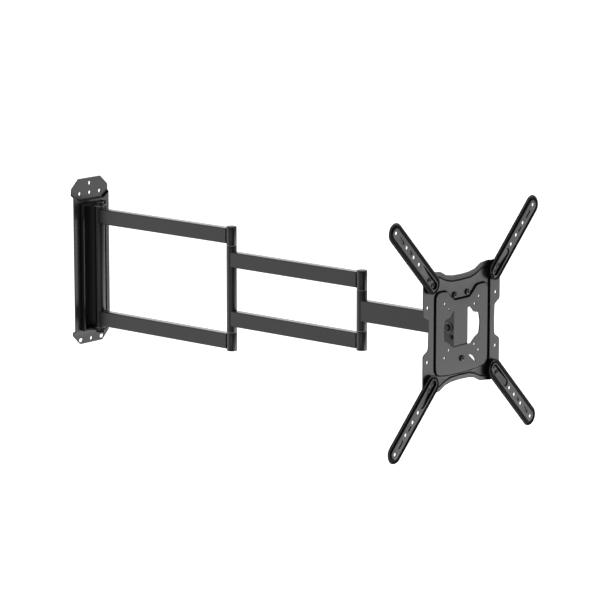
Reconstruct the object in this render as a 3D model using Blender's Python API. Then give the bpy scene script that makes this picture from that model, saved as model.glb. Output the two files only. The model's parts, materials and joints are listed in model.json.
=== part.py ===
"""Full-motion television wall mount with three folding arms and a tilting VESA head.

Frame: millimetre sizes below, metres in the scene. +X runs along the wall, +Y points into the
wall, +Z is up. The origin is on the wall face, at the height of the arms' middle. At rest the
arms point straight out of the wall, along -Y, and the head is parallel to the wall.
"""
import math

import bmesh
import bpy
from mathutils import Vector
from mathutils.geometry import delaunay_2d_cdt

MM = 0.001
GAP = 0.3                       # clearance between touching pieces

# Wall bracket
PLATE_T = 2.8
PLATE_STEP = 5.0                # the plate's body stands this far in front of its tabs
PLATE_HALF = 48.8
TAB_HALF = 50.5                 # half width of the two screw tabs
CHANNEL_HALF = 33.0
CHANNEL_T = 2.4
CHANNEL_FRONT = -17.0           # front edge of the channel's side walls
CHANNEL_END = 128.0             # half height of the channel
WALL_HOLE_R = 3.8
WALL_HOLE_X = 28.0
WALL_HOLE_TOP = 147.0
WALL_HOLE_HIGH = 166.0
WALL_HOLE_LOW = -148.0

# Pivots, as distances out of the wall
WALL_AXIS = -29.0
ELBOW1_AXIS = -379.5
ELBOW2_AXIS = -703.5
SWIVEL_AXIS = -897.0
TILT_AXIS_Y = -923.0
POST_R = 10.0
PIN_R = 5.0
SLEEVE_BORE_R = 7.3

# Arms
TUBE_W = 18.0
TUBE_H = 30.0
TUBE_T = 1.8
TUBE_CORNER = 2.5
TUBE_END_GAP = 7.9              # from a tube's squared end to the axis it is welded beside
ARM1_Z = 103.0                  # height of the first arm's tubes over and under the middle
ARM2_Z = 57.7
ARM3_H = 40.0
ELBOW1_SPLIT = 84.5             # height where knuckle meets sleeve
ELBOW2_SPLIT = 38.5
ELBOW1_TOP = 121.5
ELBOW2_TOP = 75.8
WALL_SLEEVE_TOP = 121.0
LUG_T = 3.3

# Head
HEAD_FRONT = -939.2             # front of the raised panel and ears
HEAD_T = 2.2
HEAD_STEP = 3.5                 # depth of the pressed step behind the panel
EAR_X = 112.0
EAR_EDGE = 83.5                 # inner edge of the raised sides
BRACKET_T = 2.5
BRACKET_HALF = 20.0
LEVEL_PIVOT_Z = -58.0
LEVEL_LOCK = (18.5, 62.0)
ADAPTER_FRONT = -946.7
ADAPTER_T = 1.6
ADAPTER_HALF = 19.0
ADAPTER_DEPTH = 7.2             # from its front to the head plate, at the bottom of the pocket
VESA_DIAGONAL = [half * math.sqrt(2) for half in (135.0, 150.0, 170.0, 200.0)]
ADAPTER_SCREWS = (127.0, 142.0)
POCKET = (127.5, 173.5)         # centres of the ends of the pocket for the screws
GROOVES = ((255.0, 267.0), (223.5, 228.5))      # shallow pressed grooves along an arm

SEG = 24                        # sides of a post
SMALL_SEG = 16                  # sides of a pin, bolt or hole


def clear_scene():
    for obj in list(bpy.data.objects):
        bpy.data.objects.remove(obj, do_unlink=True)


# ---------------------------------------------------------------- materials

def make_material(name, colour, roughness, metallic):
    material = bpy.data.materials.new(name)
    material.use_nodes = True
    shader = material.node_tree.nodes["Principled BSDF"]
    shader.inputs["Base Color"].default_value = (*colour, 1.0)
    shader.inputs["Roughness"].default_value = roughness
    shader.inputs["Metallic"].default_value = metallic
    return material


FINISHES = {
    "black_powder_coat": ((0.018, 0.018, 0.019), 0.38, 0.0),
    "black_plastic": ((0.012, 0.012, 0.013), 0.5, 0.0),
    "black_oxide_steel": ((0.03, 0.03, 0.032), 0.3, 1.0),
    "grey_nylon": ((0.35, 0.35, 0.34), 0.5, 0.0),
}


def painted(name, finish):
    """Each sub-part has a material of its own, in one of the finishes."""
    return make_material(name + "_" + finish, *FINISHES[finish])


# ---------------------------------------------------------------- outlines, in mm

def arc(cx, cy, radius, start, end, steps):
    """Points on a circle from start to end, in degrees."""
    angles = [math.radians(start + (end - start) * i / steps) for i in range(steps + 1)]
    return [(cx + radius * math.cos(a), cy + radius * math.sin(a)) for a in angles]


def circle(cx, cy, radius, steps=SMALL_SEG):
    return arc(cx, cy, radius, 0, 360, steps)[:-1]


def stadium(x0, x1, radius, steps=8, cy=0.0):
    """A slot's outline along the first axis, from centre x0 to centre x1."""
    return arc(x1, cy, radius, -90, 90, steps) + arc(x0, cy, radius, 90, 270, steps)


def mirrored(half):
    """A closed outline from its right half, listed from the top centre to the bottom centre."""
    left = [(-x, y) for x, y in reversed(half) if abs(x) > 1e-6]
    return list(half) + left


def rounded_rectangle(half_w, half_h, radius, steps=3):
    points = []
    for sx, sy, start in ((1, 1, 0), (-1, 1, 90), (-1, -1, 180), (1, -1, 270)):
        points += arc(sx * (half_w - radius), sy * (half_h - radius), radius, start, start + 90, steps)
    return points


def inside(point, loop):
    """Is the point inside the closed loop?"""
    x, y = point
    hit = False
    for (x0, y0), (x1, y1) in zip(loop, loop[1:] + loop[:1]):
        if (y0 > y) != (y1 > y) and x < (x1 - x0) * (y - y0) / (y1 - y0) + x0:
            hit = not hit
    return hit


# ---------------------------------------------------------------- solids

def add_object(name, bm, finish, parent, smooth=35.0):
    """Makes a named object from a mesh in mm, and scales it to metres."""
    bmesh.ops.scale(bm, vec=(MM, MM, MM), verts=bm.verts)
    mesh = bpy.data.meshes.new(name)
    bm.to_mesh(mesh)
    bm.free()
    mesh.shade_smooth()
    mesh.set_sharp_from_angle(angle=math.radians(smooth))
    mesh.materials.append(painted(name, finish))
    obj = bpy.data.objects.new(name, mesh)
    bpy.context.collection.objects.link(obj)
    obj.parent = parent
    return obj


def make_joint(name, location_mm, parent=None):
    """An empty on a joint's axis. location_mm is in the row's frame."""
    empty = bpy.data.objects.new(name, None)
    bpy.context.collection.objects.link(empty)
    here = Vector(location_mm) * MM
    origin = parent["at"] if parent else (0.0, 0.0, 0.0)
    empty.location = here - Vector(origin)
    empty["at"] = list(here)
    empty.parent = parent
    return empty


def place(obj, at_mm):
    """Moves an object to at_mm in the row's frame, under its parent empty."""
    parent_at = Vector(obj.parent["at"]) if obj.parent else Vector()
    obj.location = Vector(at_mm) * MM - parent_at
    return obj


def loft(bm, rings, close=False):
    """Skins rings of equal length. close joins the last ring to the first, else ends are capped."""
    loops = [[bm.verts.new(p) for p in ring] for ring in rings]
    pairs = list(zip(loops, loops[1:]))
    if close:
        pairs.append((loops[-1], loops[0]))
    for a, b in pairs:
        for i in range(len(a)):
            j = (i + 1) % len(a)
            bm.faces.new((a[i], a[j], b[j], b[i]))
    if not close:
        bm.faces.new(loops[0][::-1])
        bm.faces.new(loops[-1])


def hexagon(radius, segments):
    """A hexagon of the given inner radius, with as many points as a circle."""
    points = []
    for x, y in circle(0, 0, radius, segments):
        angle = math.degrees(math.atan2(y, x)) % 60
        stretch = 1 / math.cos(math.radians(angle if angle < 30 else angle - 60))
        points.append((x * stretch, y * stretch))
    return points


def turned(name, profile, finish, parent, at, axis="Z", segments=SEG, hollow=False, hexed=()):
    """A solid of revolution. profile is (radius, height) from the bottom up; a hollow one is a loop.

    The profile points numbered in hexed are hexagonal, for a nut or a bolt's head.
    """
    bm = bmesh.new()
    rings = []
    for index, (radius, height) in enumerate(profile):
        ring = []
        outline = hexagon(radius, segments) if index in hexed else circle(0, 0, radius, segments)
        for x, y in outline:
            point = {"Z": (x, y, height), "X": (height, x, y), "Y": (y, height, x)}[axis]
            ring.append(point)
        rings.append(ring)
    loft(bm, rings, close=hollow)
    bmesh.ops.recalc_face_normals(bm, faces=bm.faces)
    return place(add_object(name, bm, finish, parent), at)


def ring_profile(r_in, r_out, z0, z1):
    return [(r_out, z0), (r_out, z1), (r_in, z1), (r_in, z0)]


def prism(outline, low, high, plane="XY"):
    """A mesh extruded between two levels. The outline lies in the named plane."""
    bm = bmesh.new()
    rings = []
    for level in (low, high):
        if plane == "XY":
            rings.append([(x, y, level) for x, y in outline])
        elif plane == "XZ":
            rings.append([(x, level, z) for x, z in outline])
        else:
            rings.append([(level, y, z) for y, z in outline])
    loft(bm, rings)
    bmesh.ops.recalc_face_normals(bm, faces=bm.faces)
    return bm


def cutter_from(bm, name, parent, at):
    obj = place(add_object(name, bm, "black_plastic", parent), at)
    obj.hide_render = True
    obj.display_type = "WIRE"
    return obj


def boolean(obj, tool, operation):
    modifier = obj.modifiers.new(operation.lower(), "BOOLEAN")
    modifier.operation = operation
    modifier.solver = "EXACT"
    modifier.object = tool
    return obj


def pressed_sheet(name, outline, thickness, finish, parent, at, front, creases=(), holes=(), turn=None):
    """A pressed metal sheet in the XZ plane, facing -Y.

    outline, creases and holes are lists of (x, z, depth), with depth counted back from front.
    The outline and the holes are closed; a crease is (points, closed). turn maps a point (x, z)
    to its place, for sheets that are drawn along their own axis.
    """
    points, edges, depths = [], [], []

    def add_line(line, closed):
        first = len(points)
        for x, z, depth in line:
            points.append(Vector((x, z)))
            depths.append(depth)
        count = len(line)
        for i in range(count if closed else count - 1):
            edges.append((first + i, first + (i + 1) % count))

    add_line(outline, True)
    for line, closed in creases:
        add_line(line, closed)
    for hole in holes:
        add_line(hole, True)
    coords, _, faces, origins, _, _ = delaunay_2d_cdt(points, edges, [], 0, 1e-6)

    outer = [(x, z) for x, z, _ in outline]
    inner = [[(x, z) for x, z, _ in hole] for hole in holes]
    bm = bmesh.new()
    verts = []
    for co, origin in zip(coords, origins):
        x, z = turn(co.x, co.y) if turn else (co.x, co.y)
        verts.append(bm.verts.new((x, front + depths[origin[0]], z)))
    for face in faces:
        cx = sum(coords[i].x for i in face) / len(face)
        cz = sum(coords[i].y for i in face) / len(face)
        if inside((cx, cz), outer) and not any(inside((cx, cz), hole) for hole in inner):
            bm.faces.new([verts[i] for i in face])
    loose = [v for v in bm.verts if not v.link_faces]
    bmesh.ops.delete(bm, geom=loose, context="VERTS")
    bmesh.ops.recalc_face_normals(bm, faces=bm.faces)
    if sum(face.normal.y for face in bm.faces) > 0:
        bmesh.ops.reverse_faces(bm, faces=bm.faces)
    obj = place(add_object(name, bm, finish, parent), at)
    solidify = obj.modifiers.new("sheet", "SOLIDIFY")
    solidify.thickness = thickness * MM
    solidify.offset = -1.0
    solidify.use_even_offset = True
    solidify.use_quality_normals = True
    return obj


def flat(points, depth=0.0):
    return [(x, z, depth) for x, z in points]


# ---------------------------------------------------------------- wall bracket

def wall_plate_outline():
    """The plate's edge. Its two tabs lie on the wall and the body between them stands in front."""
    tab = PLATE_STEP
    half = [
        (0, 177, tab), (30.5, 177, tab), (TAB_HALF, 158.5, tab), (TAB_HALF, 147.5, tab),
        (PLATE_HALF, 143.5, 0), (PLATE_HALF, -128.6, 0), (TAB_HALF, -132, tab),
        (TAB_HALF, -137, tab), (31, -156, tab), (0, -156, tab),
    ]
    left = [(-x, z, depth) for x, z, depth in reversed(half) if x > 0]
    return half + left


def wall_plate_creases():
    """The two bends between the tabs and the body, and a pad that rests on the wall."""
    lines = [
        [(TAB_HALF, 147.5, PLATE_STEP), (33, 136, PLATE_STEP)],
        [(PLATE_HALF, 143.5, 0), (34, 132.6, 0)],
        [(TAB_HALF, -132, PLATE_STEP)],
        [(PLATE_HALF, -128.6, 0)],
    ]
    creases = [(line + [(-x, z, depth) for x, z, depth in reversed(line)], False) for line in lines]
    for radius, depth in ((29, 0), (20, PLATE_STEP), (17, PLATE_STEP)):
        creases.append((flat(circle(1.3, 4.7, radius), depth), True))
    return creases


def build_wall_bracket():
    spots = [(0, WALL_HOLE_HIGH), (0, WALL_HOLE_LOW)]
    spots += [(k * WALL_HOLE_X, WALL_HOLE_TOP) for k in (-1, 0, 1)]
    holes = [flat(circle(x, z, WALL_HOLE_R, 16), PLATE_STEP) for x, z in spots]
    for k in (-1, 1):
        slot = stadium(k * 29.5 - 2, k * 29.5 + 2, WALL_HOLE_R, 6, WALL_HOLE_LOW)
        holes.append(flat(slot, PLATE_STEP))
    body_front = -PLATE_T - PLATE_STEP
    pressed_sheet("wall_plate", wall_plate_outline(), PLATE_T, "black_powder_coat", None, (0, 0, 0),
                  body_front, creases=wall_plate_creases(), holes=holes)

    back = body_front - GAP
    c, t = CHANNEL_HALF, CHANNEL_T
    section = [
        (-c, back), (-c, CHANNEL_FRONT), (-c + t, CHANNEL_FRONT), (-c + t, back - t),
        (c - t, back - t), (c - t, CHANNEL_FRONT), (c, CHANNEL_FRONT), (c, back),
    ]
    add_object("wall_channel", prism(section, -CHANNEL_END, CHANNEL_END), "black_powder_coat", None)

    lug_face = WALL_SLEEVE_TOP + 2.8
    build_lug("upper_lug", lug_face, lug_face + LUG_T)
    build_lug("lower_lug", -lug_face - LUG_T, -lug_face)

    axis = (0, WALL_AXIS, 0)
    head = lug_face + LUG_T + GAP
    bolt = [(PIN_R, -head - 5), (PIN_R, head), (8.5, head), (8.5, head + 2.6), (7.0, head + 3.6)]
    turned("wall_pivot_bolt", bolt, "black_oxide_steel", None, axis, segments=SMALL_SEG)
    nut = ring_profile(PIN_R + 2 * GAP, 8.0, -head - 4.4, -head)
    turned("wall_pivot_nut", nut, "black_oxide_steel", None, axis, segments=12, hollow=True,
           hexed=(0, 1))


def build_lug(name, z0, z1):
    """A plate welded across the channel, with a tongue that carries the wall pivot."""
    side = CHANNEL_HALF - CHANNEL_T - GAP
    back = -PLATE_T - PLATE_STEP - 2 * GAP - CHANNEL_T
    tongue = arc(0, WALL_AXIS, 13.0, -10, -170, 10)
    outline = [(side, back), (side, back - 4), (13.0, WALL_AXIS + 8)] + tongue
    outline += [(-13.0, WALL_AXIS + 8), (-side, back - 4), (-side, back)]
    lug = add_object(name, prism(outline, z0, z1), "black_powder_coat", None)
    hole = prism(circle(0, 0, PIN_R + GAP), -3, LUG_T + 3)
    boolean(lug, cutter_from(hole, name + "_cutter", None, (0, WALL_AXIS, z0)), "DIFFERENCE")


# ---------------------------------------------------------------- arms

def tube(name, y_from, y_to, height, z, parent, cuts):
    """A rectangular tube along Y. cuts are the y of axes whose posts it is fitted round."""
    outer = rounded_rectangle(TUBE_W / 2, height / 2, TUBE_CORNER)
    inner = rounded_rectangle(TUBE_W / 2 - TUBE_T, height / 2 - TUBE_T, 1.0)
    bm = bmesh.new()
    rings = [
        [(x, y_from, h) for x, h in outer], [(x, y_to, h) for x, h in outer],
        [(x, y_to, h) for x, h in inner], [(x, y_from, h) for x, h in inner],
    ]
    loft(bm, rings, close=True)
    bmesh.ops.recalc_face_normals(bm, faces=bm.faces)
    obj = place(add_object(name, bm, "black_powder_coat", parent), (0, 0, z))
    for index, (y, radius) in enumerate(cuts):
        post = prism(circle(0, 0, radius + GAP, 32), -height, height)
        tool = cutter_from(post, f"{name}_cutter_{index}", parent, (0, y, z))
        boolean(obj, tool, "DIFFERENCE")
    return obj


def bushing(name, parent, axis_y, face, sign, depth=14.0, flange=1.2):
    """A flanged nylon bush in the end of a sleeve. face is the sleeve's end height."""
    f0, f1 = face + GAP, face + GAP + flange
    r_in, r_body, r_flange = PIN_R + GAP, SLEEVE_BORE_R - GAP, POST_R - 0.2
    loop = [(r_in, face - depth), (r_body, face - depth), (r_body, f0),
            (r_flange, f0), (r_flange, f1), (r_in, f1)]
    profile = [(r, sign * h) for r, h in loop]
    turned(name, profile, "grey_nylon", parent, (0, axis_y, 0), segments=SEG, hollow=True)


def elbow(prefix, outer_arm, inner_arm, axis_y, split, top, names):
    """Two knuckles of the first arm, and the second arm's sleeve between them, on one pin."""
    at = (0, axis_y, 0)
    cap_face = top - 2.2
    for side, sign in (("upper", 1), ("lower", -1)):
        low, high = split + GAP + 1.2, cap_face - GAP
        z0, z1 = sorted((sign * low, sign * high))
        knuckle = ring_profile(PIN_R + GAP, POST_R, z0, z1)
        turned(f"{names[0]}_{side}_knuckle", knuckle, "black_powder_coat", outer_arm, at, hollow=True)
        inner_end = high - 2.0
        cap = [(PIN_R, inner_end + GAP), (PIN_R, cap_face), (POST_R, cap_face),
               (POST_R, top - 0.7), (POST_R - 0.7, top)]
        cap = [(r, sign * h) for r, h in cap]
        turned(f"{prefix}_{side}_cap", cap, "black_plastic", outer_arm, at)
        bushing(f"{prefix}_{side}_bushing", inner_arm, axis_y, split - GAP - 0.3, sign)
    pin_end = cap_face - GAP - 2.0
    pin = [(PIN_R, -pin_end), (PIN_R, pin_end)]
    turned(prefix + "_pin", pin, "black_oxide_steel", outer_arm, at, segments=SMALL_SEG)
    sleeve_end = split - GAP - 0.3
    sleeve = ring_profile(SLEEVE_BORE_R, POST_R, -sleeve_end, sleeve_end)
    turned(f"{names[1]}_sleeve", sleeve, "black_powder_coat", inner_arm, at, hollow=True)


def build_arms():
    arm1 = make_joint("arm_1_axis", (0, WALL_AXIS, 0))
    arm2 = make_joint("arm_2_axis", (0, ELBOW1_AXIS, 0), arm1)
    arm3 = make_joint("arm_3_axis", (0, ELBOW2_AXIS, 0), arm2)

    end = WALL_SLEEVE_TOP
    pivot = ring_profile(SLEEVE_BORE_R, POST_R, -end, end)
    turned("arm1_pivot_tube", pivot, "black_powder_coat", arm1, (0, WALL_AXIS, 0), hollow=True)
    for side, sign in (("upper", 1), ("lower", -1)):
        bushing(f"wall_{side}_bushing", arm1, WALL_AXIS, end, sign, flange=2.0)
        tube(f"arm1_{side}_tube", WALL_AXIS, ELBOW1_AXIS + TUBE_END_GAP, TUBE_H, sign * ARM1_Z,
             arm1, [(WALL_AXIS, POST_R), (ELBOW1_AXIS, POST_R)])
        tube(f"arm2_{side}_tube", ELBOW1_AXIS, ELBOW2_AXIS + TUBE_END_GAP, TUBE_H, sign * ARM2_Z,
             arm2, [(ELBOW1_AXIS, POST_R), (ELBOW2_AXIS, POST_R)])
    elbow("elbow1", arm1, arm2, ELBOW1_AXIS, ELBOW1_SPLIT, ELBOW1_TOP, ("arm1", "arm2"))
    elbow("elbow2", arm2, arm3, ELBOW2_AXIS, ELBOW2_SPLIT, ELBOW2_TOP, ("arm2", "arm3"))
    tube("arm3_tube", ELBOW2_AXIS, SWIVEL_AXIS, ARM3_H, 0, arm3,
         [(ELBOW2_AXIS, POST_R), (SWIVEL_AXIS, 11.0)])
    knuckle = ring_profile(4.0 + GAP, 11.0, -20.0, 20.0)
    turned("arm3_end_knuckle", knuckle, "black_powder_coat", arm3, (0, SWIVEL_AXIS, 0), hollow=True)
    return arm3


# ---------------------------------------------------------------- swivel and tilt

def build_swivel(arm3):
    yoke_axis = make_joint("swivel_axis", (0, SWIVEL_AXIS, 0), arm3)
    at = (0, SWIVEL_AXIS, 0)
    inner, outer = 21.6, 25.1               # the two flanges, over and under the knuckle
    half = BRACKET_HALF - BRACKET_T - GAP
    web_back, web_front = -12.2, -15.7
    tilt = TILT_AXIS_Y - SWIVEL_AXIS
    flange = [(half, web_front), (half, web_back)] + arc(0, 0, 13.0, 0, 180, 10)
    flange += [(-half, web_back), (-half, web_front)]
    yoke = place(add_object("swivel_yoke", prism(flange, inner, outer), "black_powder_coat",
                            yoke_axis), at)
    hole = cutter_from(prism(circle(0, 0, 4.0 + GAP), -40, 40), "yoke_pin_cutter", yoke_axis, at)
    low_flange = cutter_from(prism(flange, -outer, -inner), "yoke_low_flange", yoke_axis, at)
    web = [(-half, web_front), (half, web_front), (half, web_back), (-half, web_back)]
    web = cutter_from(prism(web, -outer, outer), "yoke_web", yoke_axis, at)
    cheek = [(web_back - 1, 14.0)] + arc(tilt, 0, 9.0, 90, 270, 10) + [(web_back - 1, -14.0)]
    boolean(yoke, low_flange, "UNION")
    boolean(yoke, web, "UNION")
    for side in (-1, 1):
        x0, x1 = sorted((side * half, side * (half - 3.5)))
        piece = prism(cheek, x0, x1, "YZ")
        boolean(yoke, cutter_from(piece, f"yoke_cheek_{x0:.0f}", yoke_axis, at), "UNION")
    boolean(yoke, hole, "DIFFERENCE")
    bore = bmesh.new()
    rings = [[(x, tilt + y, z) for y, z in circle(0, 0, 4.0 + GAP)] for x in (-30, 30)]
    loft(bore, rings)
    bmesh.ops.recalc_face_normals(bore, faces=bore.faces)
    boolean(yoke, cutter_from(bore, "yoke_tilt_cutter", yoke_axis, at), "DIFFERENCE")

    for name, sign in (("swivel_upper_washer", 1), ("swivel_lower_washer", -1)):
        z0, z1 = sorted((sign * 20.3, sign * 21.3))
        turned(name, ring_profile(4.0 + GAP, 10.0, z0, z1), "grey_nylon", yoke_axis, at,
               segments=SMALL_SEG, hollow=True)
    face = outer + GAP
    pin = [(7.5, -face - 5), (7.5, -face), (4.0, -face), (4.0, face), (8.0, face),
           (8.0, face + 3.2), (6.0, face + 4.4)]
    turned("swivel_bolt", pin, "black_oxide_steel", yoke_axis, at, segments=SMALL_SEG)
    return yoke_axis


def build_tilt(yoke_axis):
    tilt_axis = make_joint("tilt_axis", (0, TILT_AXIS_Y, 0), yoke_axis)
    front = HEAD_FRONT + HEAD_T + GAP
    step = HEAD_STEP
    half = BRACKET_HALF
    wide = 31.0
    outline = [
        (half, 44, 0), (half, 49, step), (wide, 54, step), (wide, 74, step),
        (-wide, 74, step), (-wide, 54, step), (-half, 49, step), (-half, 44, 0),
        (-half, -70, 0), (half, -70, 0),
    ]
    creases = [
        ([(-half, 44, 0), (half, 44, 0)], False),
        ([(-half, 49, step), (half, 49, step)], False),
    ]
    radius = math.hypot(LEVEL_LOCK[0], LEVEL_LOCK[1] - LEVEL_PIVOT_Z)
    holes = [flat(circle(0, LEVEL_PIVOT_Z, 3.3, 12))]
    for side in (-1, 1):
        middle = math.degrees(math.atan2(LEVEL_LOCK[1] - LEVEL_PIVOT_Z, side * LEVEL_LOCK[0]))
        outer = arc(0, LEVEL_PIVOT_Z, radius + 3.4, middle - 4.8, middle + 4.8, 6)
        inner = arc(0, LEVEL_PIVOT_Z, radius - 3.4, middle + 4.8, middle - 4.8, 6)
        holes.append(flat(outer + inner, step))
    bracket = pressed_sheet("tilt_bracket", outline, BRACKET_T, "black_powder_coat", tilt_axis,
                            (0, 0, 0), front, creases=creases, holes=holes)
    root = front + 0.6                      # the ears are rooted inside the strap's sheet
    back = TILT_AXIS_Y + 11.0
    ear = [(root, 36), (root, -36), (back - 13, -34), (back - 4, -28), (back, -20), (back, 20),
           (back - 4, 28), (back - 13, 34)]
    for side in (-1, 1):
        x0, x1 = sorted((side * half, side * (half - BRACKET_T)))
        piece = prism(ear, x0, x1, "YZ")
        tool = cutter_from(piece, f"tilt_ear_{x0:.0f}", tilt_axis, (0, 0, 0))
        boolean(bracket, tool, "UNION")
    bore = prism(circle(TILT_AXIS_Y, 0, 4.0 + GAP), -30, 30, "YZ")
    boolean(bracket, cutter_from(bore, "tilt_bore_cutter", tilt_axis, (0, 0, 0)), "DIFFERENCE")
    guide_y, guide_z = TILT_AXIS_Y - 6.0, -17.5
    guide = prism(circle(guide_y, guide_z, 2.6, 12), -30, 30, "YZ")
    boolean(bracket, cutter_from(guide, "tilt_guide_cutter", tilt_axis, (0, 0, 0)), "DIFFERENCE")

    face = half + GAP
    at = (0, TILT_AXIS_Y, 0)
    for name, sign in (("tilt_left_washer", -1), ("tilt_right_washer", 1)):
        x0, x1 = sorted((sign * face, sign * (face + 1.0)))
        turned(name, ring_profile(4.0 + GAP, 9.0, x0, x1), "grey_nylon", tilt_axis, at, "X",
               SMALL_SEG, True)
    end = face + 1.0 + GAP
    bolt = [(5.0, -end - 5.2), (7.2, -end - 4.0), (7.2, -end), (4.0, -end), (4.0, end),
            (7.2, end), (7.2, end + 6.5)]
    turned("tilt_bolt", bolt, "black_oxide_steel", tilt_axis, at, "X", SMALL_SEG)
    for name, sign in (("tilt_left_guide_screw", -1), ("tilt_right_guide_screw", 1)):
        guide = [(2.3, half - 3.2), (2.3, face), (4.2, face), (4.2, face + 2.6), (3.2, face + 3.2)]
        guide = [(r, sign * x) for r, x in guide]
        turned(name, guide, "black_oxide_steel", tilt_axis, (0, guide_y, guide_z), "X", 12)
    return tilt_axis


# ---------------------------------------------------------------- head

def head_outline(step):
    """The pressed head plate's edge. The two sides are raised; top and bottom edges lie behind."""
    top = flat([(0, 97.5), (26, 98.5), (42, 101), (54, 106), (64, 110.5), (EAR_EDGE - 3, 112)], step)
    ear = flat([(EAR_EDGE, 112), (101, 112), (108, 108.5), (EAR_X, 101), (EAR_X, 38), (110, 33),
                (98, 27), (96, 23)])
    low_ear = [(x, -z, d) for x, z, d in reversed(ear)]
    low = [(x, -z, d) for x, z, d in reversed(top)]
    half = top + ear + low_ear + low
    left = [(-x, z, d) for x, z, d in reversed(half) if x > 0]
    return half + left


def panel_line(grow):
    """The raised panel's edge, pushed out by grow."""
    g = grow
    half = [
        (0, 52 + g), (25 - g, 52 + g), (30.5 - g, 55 + g * 0.6), (33.5 - g, 60 + g * 0.4),
        (36.5 - g * 0.6, 66 + g * 0.6), (41, 70 + g), (68, 72 + g), (73 + g * 0.7, 70 + g * 0.7),
        (75 + g, 65), (75 + g, -70), (73 + g * 0.7, -76 - g * 0.5), (67, -79 - g), (36, -82 - g),
        (0, -83 - g),
    ]
    return mirrored(half)


def ear_line(side, offset, depth):
    """The inner edge of a raised side, an open line from the top edge to the bottom edge."""
    x = side * (EAR_EDGE - offset)
    return [(x, 112, depth), (x, 60, depth), (x, 0, depth), (x, -60, depth), (x, -112, depth)]


def opening_outline():
    half = [
        (0, 34), (25, 34), (30, 31), (35, 25.5), (40, 22), (48, 20), (52.5, 16), (54, 9), (54, -8),
        (52.5, -15), (48, -20), (41, -24), (35, -28.5), (30, -33), (26, -34), (0, -34),
    ]
    return mirrored(half)


def build_head(tilt_axis):
    head_axis = make_joint("level_axis", (0, HEAD_FRONT, LEVEL_PIVOT_Z), tilt_axis)
    holes = [flat(opening_outline())]
    for side in (-1, 1):
        for level in (-1, 1):
            holes.append(flat(circle(side * 100, level * 50, 3.2, 12)))
            holes.append(flat(circle(side * 50, level * 50, 2.6, 12)))
            holes.append(flat(circle(side * 37.5, level * 37.5, 2.6, 12)))
            for reach in ADAPTER_SCREWS:
                spot = reach / math.sqrt(2)
                depth = 0.0
                holes.append(flat(circle(side * spot, level * spot, 3.1, 12), depth))
    holes.append(flat(circle(0, LEVEL_PIVOT_Z, 3.3, 12)))
    holes += [flat(circle(s * LEVEL_LOCK[0], LEVEL_LOCK[1], 3.3, 12), HEAD_STEP) for s in (-1, 1)]
    holes.append(flat(crescent()))
    creases = [(flat(panel_line(0)), True), (flat(panel_line(3.0), HEAD_STEP), True)]
    for side in (-1, 1):
        creases.append((ear_line(side, 0, 0.0), False))
        creases.append((ear_line(side, 3.0, HEAD_STEP), False))
    pressed_sheet("head_plate", head_outline(HEAD_STEP), HEAD_T, "black_powder_coat", head_axis,
                  (0, 0, 0), HEAD_FRONT, creases=creases, holes=holes)

    bracket_back = HEAD_FRONT + HEAD_T + 2 * GAP + BRACKET_T
    spots = [("level_pivot_bolt", 0, LEVEL_PIVOT_Z, 0.0)]
    spots += [("level_left_bolt", -LEVEL_LOCK[0], LEVEL_LOCK[1], HEAD_STEP),
              ("level_right_bolt", LEVEL_LOCK[0], LEVEL_LOCK[1], HEAD_STEP)]
    for name, x, z, depth in spots:
        face = HEAD_FRONT + depth - GAP
        back = bracket_back + depth
        profile = [(4.2, face - 2.8), (5.6, face - 2.0), (5.6, face), (2.9, face),
                   (2.9, back), (5.4, back), (5.4, back + 4.5)]
        profile = [(r, y - HEAD_FRONT) for r, y in profile]
        turned(name, profile, "black_oxide_steel", head_axis, (x, HEAD_FRONT, z), "Y", SMALL_SEG)
    return head_axis


def crescent():
    """A slanted, pointed slot in the lower right of the panel."""
    (x0, z0), (x1, z1) = (20.5, -54.5), (42.5, -71.5)
    length = math.hypot(x1 - x0, z1 - z0)
    ux, uz = (x1 - x0) / length, (z1 - z0) / length
    points = []
    for sign, order in ((1, range(7)), (-1, range(5, 0, -1))):
        for i in order:
            t = i / 6
            bow = 2.6 * sign * math.sin(math.pi * t) + 2.0 * math.sin(math.pi * t)
            points.append((x0 + ux * length * t - uz * bow, z0 + uz * length * t + ux * bow))
    return points


# ---------------------------------------------------------------- adapter arms

def adapter_arm(name, side, level, parent):
    """A pressed strip on one diagonal of the head. Drawn along its length, then turned."""
    root = math.sqrt(0.5)

    def turn(s, v):
        return side * root * (s - v), level * root * (s + v)

    def ring(inset, depth):
        return flat(stadium(131.0 - 0.3 * inset, 281.5, ADAPTER_HALF - inset, 8), depth)

    floor_depth = ADAPTER_DEPTH - ADAPTER_T
    start, end = POCKET
    ramp = [(150.0, 5.9, floor_depth), (150.0, -5.9, floor_depth)]
    pocket = flat(arc(start, 0, 5.9, 90, 270, 6), floor_depth) + [ramp[1]]
    pocket += flat(arc(end, 0, 5.9, -90, 90, 6), 2.2) + [ramp[0]]
    creases = [(ring(1.3, 0.9), True), (ring(5.0, 2.0), True), (ring(9.5, 0.0), True)]
    creases += [(flat(stadium(start, end, 7.6, 6)), True), (pocket, True), (ramp, False)]
    for x0, x1 in GROOVES:
        creases.append((flat(stadium(x0, x1, 2.8, 3)), True))
        creases.append((flat(stadium(x0, x1, 1.8, 3), 1.2), True))
    holes = [flat(circle(s, 0, 3.1, 12), floor_depth) for s in ADAPTER_SCREWS]
    holes += [flat(circle(s, 0, 3.3, 12)) for s in VESA_DIAGONAL]
    return pressed_sheet(name, ring(0, 2.4), ADAPTER_T, "black_powder_coat", parent,
                         (0, 0, 0), ADAPTER_FRONT, creases=creases, holes=holes, turn=turn)


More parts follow.
